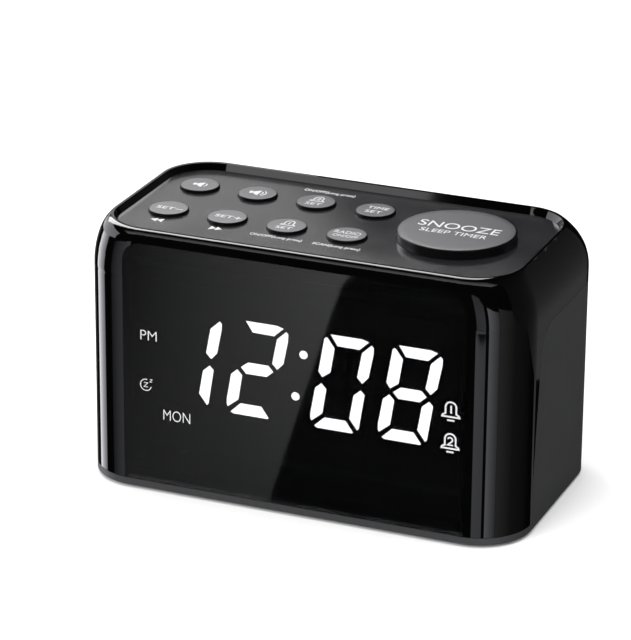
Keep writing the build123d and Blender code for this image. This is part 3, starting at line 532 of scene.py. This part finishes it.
face_low, face_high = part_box("digit_segments")
BAR_FRONT = face_low[1] / MM
BAR_DEPTH = (face_high[1] - face_low[1]) / MM
lit_faces = []
unlit_faces = []
for left, bars in zip(DIGIT_X, DIGIT_BARS):
    for letter, outline in BARS.items():
        faces = lit_faces if letter in bars else unlit_faces
        faces.append(slanted(outline, left))
for dot in DOTS:
    lit_faces.append(arc(dot, DOT_RADIUS, 0, 348, 29))
for name, faces, finish in (("lit_bars", lit_faces, LIT), ("unlit_bars", unlit_faces, UNLIT)):
    piece = artwork(name, faces, stand_up, BAR_FRONT, BAR_DEPTH, finish)
    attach(piece, "case")
    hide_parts("digit_segments")

SIGN_LEVEL = BAR_FRONT - 0.02
SIGN_THICKNESS = 0.05


def sign(name, faces):
    """Lit sign just behind the lens, growing towards the front."""
    piece = artwork(
        name, faces, stand_up, SIGN_LEVEL, -SIGN_THICKNESS, LIT_ICON
    )
    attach(piece, "case")


def worded_sign(name, words, centre, size):
    """Lit lettering just behind the lens."""
    piece = lettering(name, words, centre, size, SIGN_LEVEL, LIT_ICON, True, -0.012)
    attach(piece, "case")


def bell_lines(x, z, size, line, clapper=True):
    """Bell outline with a clapper bar; size is the bell's height without the bar."""
    half = size * 0.36
    foot = size * 0.58
    base = z - size * 0.5
    crown = arc((x, z + size * 0.5 - half), half, 0, 180, 16)
    flare = base + size * 0.22
    brim = foot * 0.95
    lip = base + size * 0.10
    outline = [(x - foot, base), (x + foot, base), (x + brim, lip), (x + half, flare)]
    outline += crown + [(x - half, flare), (x - brim, lip)]
    faces = stroke(outline, line, closed=True)
    if clapper:
        swing = size * 0.24
        faces += stroke([(x - swing, base - swing), (x + swing, base - swing)], line)
    return faces


BELL_X = 48.0
BELL_SIZE = 4.5
BELL_LINE = 0.5
ONE = [(BELL_X + 0.05, 40.0), (BELL_X + 0.05, 42.4)]
TWO = arc((BELL_X - 0.05, 31.9), 0.72, 165, -35, 10)
TWO += [(BELL_X - 0.75, 30.3), (BELL_X + 0.85, 30.3)]
sign("bell_one", bell_lines(BELL_X, 41.2, BELL_SIZE, BELL_LINE) + stroke(ONE, 0.5))
sign("bell_two", bell_lines(BELL_X, 31.5, BELL_SIZE, BELL_LINE) + stroke(TWO, 0.42))
MOON = arc((-46.6, 33.1), 1.75, 75, 345, 24)
ZED = [(-47.2, 33.8), (-46.0, 33.8), (-47.2, 32.5), (-46.0, 32.5)]
SMALL_ZED = [(-45.3, 35.0), (-44.6, 35.0), (-45.3, 34.2), (-44.6, 34.2)]
sign("sleep_sign", stroke(MOON, 0.26) + stroke(ZED, 0.2) + stroke(SMALL_ZED, 0.17))
worded_sign("pm_sign", "PM", (-45.6, 48.7), (5.2, 3.0))
worded_sign("weekday_sign", "MON", (-36.8, 24.6), (8.6, 3.3))


# ---------------------------------------------------------------- key caps
KEY_STAND = 0.95
PANEL_THICKNESS = 2.0
PANEL_TOP = top_of("key_radio") - KEY_STAND
PANEL_LOW = PANEL_TOP - PANEL_THICKNESS
FLANGE_GAP = 0.05
FLANGE_THICKNESS = 1.0
ROOT_BEVEL = 0.15
STEM_RADIUS = 2.0
FACE_RINGS = 8
EDGE_RINGS = 6
CAP_TURNS = 96


def cap_profile(key, diameter, edge):
    """Half outline of a key cap, from the middle of its top to the foot of its stem."""
    low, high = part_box(key)
    bottom = low[2] / MM
    top = high[2] / MM
    radius = diameter / 2
    inner = radius - edge
    flange = (high[0] - low[0]) / 2 / MM
    flange_top = PANEL_LOW - FLANGE_GAP
    flange_low = flange_top - FLANGE_THICKNESS
    profile = [(0.0, top)]
    for step in range(1, FACE_RINGS + 1):
        profile.append((inner * step / FACE_RINGS, top))
    for step in range(1, EDGE_RINGS + 1):
        angle = math.radians(90 * step / EDGE_RINGS)
        profile.append((inner + edge * math.sin(angle), top - edge * (1 - math.cos(angle))))
    profile += [(radius, flange_top + ROOT_BEVEL), (radius + ROOT_BEVEL, flange_top)]
    profile += [(flange, flange_top), (flange, flange_low)]
    profile += [(STEM_RADIUS, flange_low), (STEM_RADIUS, bottom), (0.0, bottom)]
    return profile


def turned_cap(name, key, body, diameter, edge):
    """Key cap turned from its profile: a flat printed top, its rounded rim and sides darkened with
    painted shade.
    """
    x, y = middle_of(key)
    mesh = bmesh.new()
    rings = []
    for reach, level in cap_profile(key, diameter, edge):
        if reach == 0.0:
            rings.append([mesh.verts.new((x * MM, y * MM, level * MM))])
            continue
        ring = []
        for step in range(CAP_TURNS):
            angle = 2 * math.pi * step / CAP_TURNS
            place = (x + reach * math.cos(angle), y + reach * math.sin(angle), level)
            ring.append(mesh.verts.new([value * MM for value in place]))
        rings.append(ring)
    for index in range(len(rings) - 1):
        upper = rings[index]
        lower = rings[index + 1]
        for step in range(CAP_TURNS):
            following = (step + 1) % CAP_TURNS
            if len(upper) == 1:
                corners = [upper[0], lower[step], lower[following]]
            elif len(lower) == 1:
                corners = [upper[step], lower[0], upper[following]]
            else:
                corners = [upper[step], lower[step], lower[following], upper[following]]
            face = mesh.faces.new(corners)
            face.smooth = True
            # The rounded rim, side wall, flange and stem take the dark finish: painted shade
            face.material_index = 0 if index < FACE_RINGS else 1
    bmesh.ops.recalc_face_normals(mesh, faces=mesh.faces)
    data = bpy.data.meshes.new(name)
    mesh.to_mesh(data)
    mesh.free()
    data.materials.append(KEY)
    data.materials.append(KEY_RIM_PAINTED_SHADE)
    data.set_sharp_from_angle(angle=math.radians(50))
    piece = bpy.data.objects.new(name, data)
    scene.collection.objects.link(piece)
    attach(piece, body)
    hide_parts(key)


FRONT_KEYS = ("set_minus", "set_plus", "alarm_1", "radio")
BACK_KEYS = ("volume_down", "volume_up", "alarm_2", "time_set")
for key in FRONT_KEYS + BACK_KEYS:
    turned_cap(f"cap_{key}", f"key_{key}", f"{key}_key", diameter=11.7, edge=0.28)
turned_cap("cap_snooze", "key_snooze", "snooze_key", diameter=34.6, edge=0.5)


# ---------------------------------------------------------------- prints on the keys and the panel
def key_words(key, lines):
    """Lines of lettering on a key: words, place from the key's middle, and width and height."""
    x, y = middle_of(f"key_{key}")
    level = top_of(f"key_{key}")
    for index, (words, (dx, dy), size) in enumerate(lines):
        name = f"key_{key}_print_{index}"
        piece = lettering(name, words, (x + dx, y + dy), size, level, PRINT)
        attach(piece, f"{key}_key")


def key_icon(key, faces):
    """An icon on a key, drawn about the key's middle."""
    x, y = middle_of(f"key_{key}")
    moved = [[(x + point[0], y + point[1]) for point in face] for face in faces]
    piece = artwork(f"{key}_icon", moved, lay_flat, top_of(f"key_{key}"), INK, PRINT)
    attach(piece, f"{key}_key")


def speaker_faces(waves, shift):
    """Loudspeaker sign with one or two sound waves."""
    horn = [
        [(-2.4, -0.8), (-1.3, -0.8), (-1.3, 0.8), (-2.4, 0.8)],
        [(-1.1, -0.8), (0.7, -2.1), (0.7, 2.1), (-1.1, 0.8)],
    ]
    for wave in range(waves):
        horn += stroke(arc((0.3, 0.0), 1.5 + 0.95 * wave, -52, 52, 12), 0.36)
    return [[(x + shift, y) for x, y in face] for face in horn]


def key_bell(number):
    """Bell sign with its number, without a clapper."""
    return bell_lines(0.1, 1.9, 3.7, 0.38, clapper=False) + number


KEY_ONE = stroke([(0.1, 0.9), (0.1, 2.7)], 0.36)
KEY_TWO = stroke(arc((0.1, 2.2), 0.5, 165, -35, 8) + [(-0.4, 1.1), (0.7, 1.1)], 0.3)
key_icon("volume_down", speaker_faces(1, 0.3))
key_icon("volume_up", speaker_faces(2, -0.2))
key_icon("alarm_1", key_bell(KEY_ONE))
key_icon("alarm_2", key_bell(KEY_TWO))

KEY_WORDS = {
    "alarm_1": [("SET", (0, -2.2), (5.0, 1.9))],
    "alarm_2": [("SET", (0, -2.2), (5.0, 1.9))],
    "time_set": [("TIME", (0.3, 1.7), (6.6, 2.0)), ("SET", (0, -1.7), (5.1, 2.0))],
    "radio": [("RADIO", (-0.2, 1.2), (8.0, 2.2)), ("ON/OFF", (0.1, -1.7), (7.7, 1.8))],
    "set_minus": [("SET", (-0.9, -0.2), (5.5, 2.0)), ("\u2013", (3.4, -0.2), (2.4, 0.3))],
    "set_plus": [("SET", (-0.9, -0.2), (5.5, 2.0)), ("+", (3.4, -0.3), (2.2, 2.0))],
    "snooze": [("SNOOZE", (0, 2.3), (24.6, 4.6)), ("SLEEP TIMER", (0, -3.0), (20.2, 2.7))],
}
for key, lines in KEY_WORDS.items():
    key_words(key, lines)

NOTE_HEIGHT = 2.3
ARROW_SET_BACK = 8.3


def panel_note(name, key, words, dy, width):
    """Small note printed on the panel beside a key."""
    x, y = middle_of(key)
    size = (width, NOTE_HEIGHT)
    piece = lettering(name, words, (x, y + dy), size, PANEL_TOP, PRINT, weight=0.02)
    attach(piece, "case")


panel_note("note_alarm_1", "key_alarm_1", "ON/OFF(Long press)", -8.3, 16.2)
panel_note("note_alarm_2", "key_alarm_2", "ON/OFF(Long press)", 10.6, 16.2)
panel_note("note_radio", "key_radio", "SCAN(Long press)", -8.5, 14.6)


def arrow_pair(name, key, way):
    """Two arrowheads on the panel in front of a key."""
    x, y = middle_of(key)
    y -= ARROW_SET_BACK
    faces = []
    for step in (-0.95, 0.95):
        tip = (x + step + way * 1.0, y)
        tail = x + step - way * 0.95
        faces.append([tip, (tail, y + 1.35), (tail, y - 1.35)])
    piece = artwork(name, faces, lay_flat, PANEL_TOP, INK, PRINT)
    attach(piece, "case")


arrow_pair("arrows_back", "key_set_minus", -1)
arrow_pair("arrows_forward", "key_set_plus", 1)

# ---------------------------------------------------------------- stage, lights and camera
FLOOR_HALF = 6.0
FLOOR_TURNS = ((-1, -1), (1, -1), (1, 1), (-1, 1))
floor_data = bpy.data.meshes.new("floor")
floor_data.from_pydata(
    [(x * FLOOR_HALF, y * FLOOR_HALF, 0) for x, y in FLOOR_TURNS], [], [(0, 1, 2, 3)]
)
floor = bpy.data.objects.new("floor", floor_data)
scene.collection.objects.link(floor)
floor_finish = moulded(
    "pale floor", (0.86, 0.86, 0.86), 0.9, grain=300.0, drift=0.02, specular=0.2
)
floor_data.materials.append(floor_finish)
floor.visible_glossy = False


CARD_STEPS = 24
CARD_DISTANCE = 1.0
CARD_FOOT = -0.80


def card_mesh(name, corners, levels, tint):
    """Grid between four corners, with its light blended between them in a colour layer."""
    steps = CARD_STEPS
    places = []
    glows = []
    for row in range(steps + 1):
        for column in range(steps + 1):
            u = column / steps
            v = row / steps
            shares = ((1 - u) * (1 - v), u * (1 - v), u * v, (1 - u) * v)
            weighed = (Vector(corner) * share for corner, share in zip(corners, shares))
            places.append(sum(weighed, Vector()))
            glows.append(sum(level * share for level, share in zip(levels, shares)))
    faces = []
    for row in range(steps):
        for column in range(steps):
            first = row * (steps + 1) + column
            faces.append((first, first + 1, first + steps + 2, first + steps + 1))
    data = bpy.data.meshes.new(name)
    data.from_pydata(places, [], faces)
    layer = data.color_attributes.new("glow", "FLOAT_COLOR", "POINT")
    for spot, glow in zip(layer.data, glows):
        spot.color = (*[glow * part for part in tint], 1.0)
    return data


def card(name, corners, levels, tint=WHITE):
    """Glowing card that only reflections see.

    Corners and levels go start low, end low, end high, start high.
    """
    data = card_mesh(name, corners, levels, tint)
    material = bpy.data.materials.new(name)
    material.use_nodes = True
    material.node_tree.nodes.clear()
    graph = Graph(material.node_tree)
    level = graph.add("ShaderNodeVertexColor", layer_name="glow")
    light = graph.add("ShaderNodeEmission")
    graph.wire(level.outputs["Color"], light.inputs["Color"])
    out = graph.add("ShaderNodeOutputMaterial")
    graph.wire(light.outputs["Emission"], out.inputs["Surface"])
    data.materials.append(material)
    piece = bpy.data.objects.new(name, data)
    scene.collection.objects.link(piece)
    piece.visible_camera = False
    piece.visible_diffuse = False
    piece.visible_transmission = False
    piece.visible_volume_scatter = False
    piece.visible_shadow = False


def around(angle, height):
    """Point on an upright cylinder round the radio."""
    turn = math.radians(angle)
    return (CARD_DISTANCE * math.cos(turn), CARD_DISTANCE * math.sin(turn), height)


def strip(name, start, end, low, high, levels, tint=WHITE):
    """Upright card between two bearings, levels as for a card."""
    corners = [around(start, low), around(end, low), around(end, high), around(start, high)]
    card(name, corners, levels, tint)


def upright(near, far, low, high, depth):
    """Corners of an upright card that faces the radio's front or back."""
    return [(near, depth, low), (far, depth, low), (far, depth, high), (near, depth, high)]


# Light mirrored in the left half of the lens, ending at a slanted edge that bends near its top
SLANTED_EDGE = [
    (-0.4232, -0.500),
    (-0.4090, -0.4535),
    (-0.3929, -0.4009),
    (-0.3763, -0.348),
    (-0.3712, -0.333),
    (-0.3696, -0.3275),
    (-0.3664, -0.3225),
    (-0.3625, -0.3175),
    (-0.3520, -0.305),
]
LENS_CARD_LEFT = -0.52
LENS_CARD_DEPTH = -1.0


def lens_levels(height):
    """Light at the left and at the slanted edge of the lens card, at a height."""
    rise = (height + 0.5) / 0.2
    return 0.28 - 0.26 * rise, 0.30 + 0.83 * rise


for index, (lower, upper) in enumerate(zip(SLANTED_EDGE, SLANTED_EDGE[1:])):
    left_low, edge_low = lens_levels(lower[1])
    left_high, edge_high = lens_levels(upper[1])
    card(
        f"lens_card_{index}",
        [
            (LENS_CARD_LEFT, LENS_CARD_DEPTH, lower[1]),
            (lower[0], LENS_CARD_DEPTH, lower[1]),
            (upper[0], LENS_CARD_DEPTH, upper[1]),
            (LENS_CARD_LEFT, LENS_CARD_DEPTH, upper[1]),
        ],
        (left_low, edge_low, edge_high, left_high),
        tint=(0.98, 1.0, 0.99),
    )
# Strips mirrored down the right corner
COOL = (0.95, 0.97, 1.05)
COOL_LEFT = (0.97, 0.97, 1.03)
strip("strip_a", -82.0, -62.5, CARD_FOOT, -0.315, (0.50, 0.80, 0.9, 1.1), COOL)
strip("strip_a_high", -80.0, -62.5, -0.285, -0.09, (0.7, 0.8, 0.6, 0.5), COOL)
strip("strip_b", -56.5, -36.0, CARD_FOOT, -0.085, (1.4, 0.5, 0.5, 2.0), (0.96, 0.98, 1.06))
strip("strip_c", -35.5, -4.0, CARD_FOOT, -0.03, (0.33, 0.09, 0.10, 0.4))
strip("strip_g", -4.0, 45.0, CARD_FOOT, -0.03, (0.09, 0.0, 0.0, 0.10))
# Line along the joint, low on the right side
strip("joint_line", 57.0, 66.0, CARD_FOOT, -0.33, (0.45, 0.45, 0.15, 0.15))
# Faint wash on the right side, in two cards that share a slanted edge
SIDE_NEAR = (0.218, -0.05)
SIDE_FAR = (0.218, 0.56)
card(
    "side_wash",
    [(*SIDE_NEAR, 0.04), (*SIDE_FAR, -0.20), (*SIDE_FAR, 0.10), (*SIDE_NEAR, 0.25)],
    (0.06, 0.18, 0.06, 0.03),
)
card(
    "side_wash_high",
    [(*SIDE_NEAR, 0.25), (*SIDE_FAR, 0.10), (*SIDE_FAR, 0.60), (*SIDE_NEAR, 0.60)],
    (0.03, 0.06, 0.012, 0.01),
)
# Strips mirrored down the left corner, and above them the light on the corner of the recess
strip("strip_d", 161.0, 187.0, CARD_FOOT, 0.02, (5.0, 1.7, 1.7, 5.0), COOL_LEFT)
strip("strip_e", 207.0, 240.0, CARD_FOOT, -0.10, (0.12, 0.9, 0.9, 0.12), (0.95, 0.97, 1.03))
strip("strip_f", 119.0, 146.0, CARD_FOOT, -0.10, (0.05, 0.12, 0.12, 0.05))
strip("corner_wash", 138.0, 204.0, 0.02, 0.60, (2.0, 2.6, 2.6, 2.0), COOL_LEFT)
# Soft card close behind and to the left, mirrored in the panel and the rim
BACK = 0.26
card(
    "back_card",
    [(-0.45, BACK, 0.10), (-0.155, BACK, 0.10), (-0.095, BACK, 0.197), (-0.45, BACK, 0.197)],
    (1.5, 1.05, 0.85, 1.4),
)
# Bright bar above it, which draws the line along the front rim
card("back_bar", upright(-0.50, -0.03, 0.224, 0.45, BACK), (8.0, 5.0, 6.0, 9.0))
# Overhead card, for the grey band on the front edge
card(
    "top_card",
    [(-0.8, -0.45, 1.0), (0.8, -0.45, 1.0), (0.8, 0.05, 1.0), (-0.8, 0.05, 1.0)],
    (1.9, 1.6, 0.4, 0.5),
)
# Card high at the front left, mirrored in the back wall of the recess
card("wall_card", upright(-0.56, -0.40, 0.58, 0.86, -1.0), (2.2, 2.0, 2.0, 2.2))
# Dark card that hides it from the rounded front edge
card("edge_shade", upright(-0.20, 0.08, 0.10, 0.158, -0.12), (0.0, 0.0, 0.0, 0.0))


def soft_light(name, place, aim, size, power):
    """Square soft light pointed at a spot; reflections don't see it."""
    data = bpy.data.lights.new(name, "AREA")
    data.shape = "SQUARE"
    data.size = size
    data.energy = power
    lamp = bpy.data.objects.new(name, data)
    scene.collection.objects.link(lamp)
    lamp.location = place
    way = Vector(aim) - Vector(place)
    lamp.rotation_euler = way.to_track_quat("-Z", "Y").to_euler()
    lamp.visible_glossy = False


soft_light("overhead", (0.0, 0.1, 1.9), (0.0, 0.0, 0.0), 2.2, 34.0)
soft_light("left_back", (-0.30, 0.22, 0.42), (-0.03, 0.0, 0.08), 0.25, 0.55)
soft_light("right", (1.5, -0.3, 0.9), (0.0, 0.0, 0.04), 1.2, 9.0)
soft_light("front", (-0.6, -1.8, 0.9), (0.0, 0.0, 0.04), 1.4, 45.0)

world = bpy.data.worlds.new("studio")
scene.world = world
world.use_nodes = True
world.node_tree.nodes.clear()
room = Graph(world.node_tree)
rays = room.add("ShaderNodeLightPath")
bright = room.add("ShaderNodeBackground", Color=(1.0, 1.0, 1.0, 1.0), Strength=0.55)
dim = room.add("ShaderNodeBackground", Color=(1.0, 1.0, 1.0, 1.0), Strength=0.004)
pick = room.add("ShaderNodeMixShader")
room.wire(rays.outputs["Is Glossy Ray"], pick.inputs[0])
room.wire(bright.outputs[0], pick.inputs[1])
room.wire(dim.outputs[0], pick.inputs[2])
room.wire(pick.outputs[0], room.add("ShaderNodeOutputWorld").inputs["Surface"])

EYE = Vector((0.35129, -0.87988, 0.42417))
eye_right = Vector((0.92488, 0.38018, 0.00728))
eye_up = Vector((-0.14653, 0.33865, 0.92943))
eye_back = eye_right.cross(eye_up)
camera_data = bpy.data.cameras.new("camera")
camera_data.sensor_fit = "AUTO"
camera_data.sensor_width = 36.0
camera_data.lens = 195.07
camera_data.clip_start = 0.05
camera_data.clip_end = 50.0
camera = bpy.data.objects.new("camera", camera_data)
scene.collection.objects.link(camera)
turn = Matrix((eye_right, eye_up, eye_back)).transposed()
camera.matrix_world = Matrix.Translation(EYE) @ turn.to_4x4()
scene.camera = camera
scene.view_settings.view_transform = "Standard"
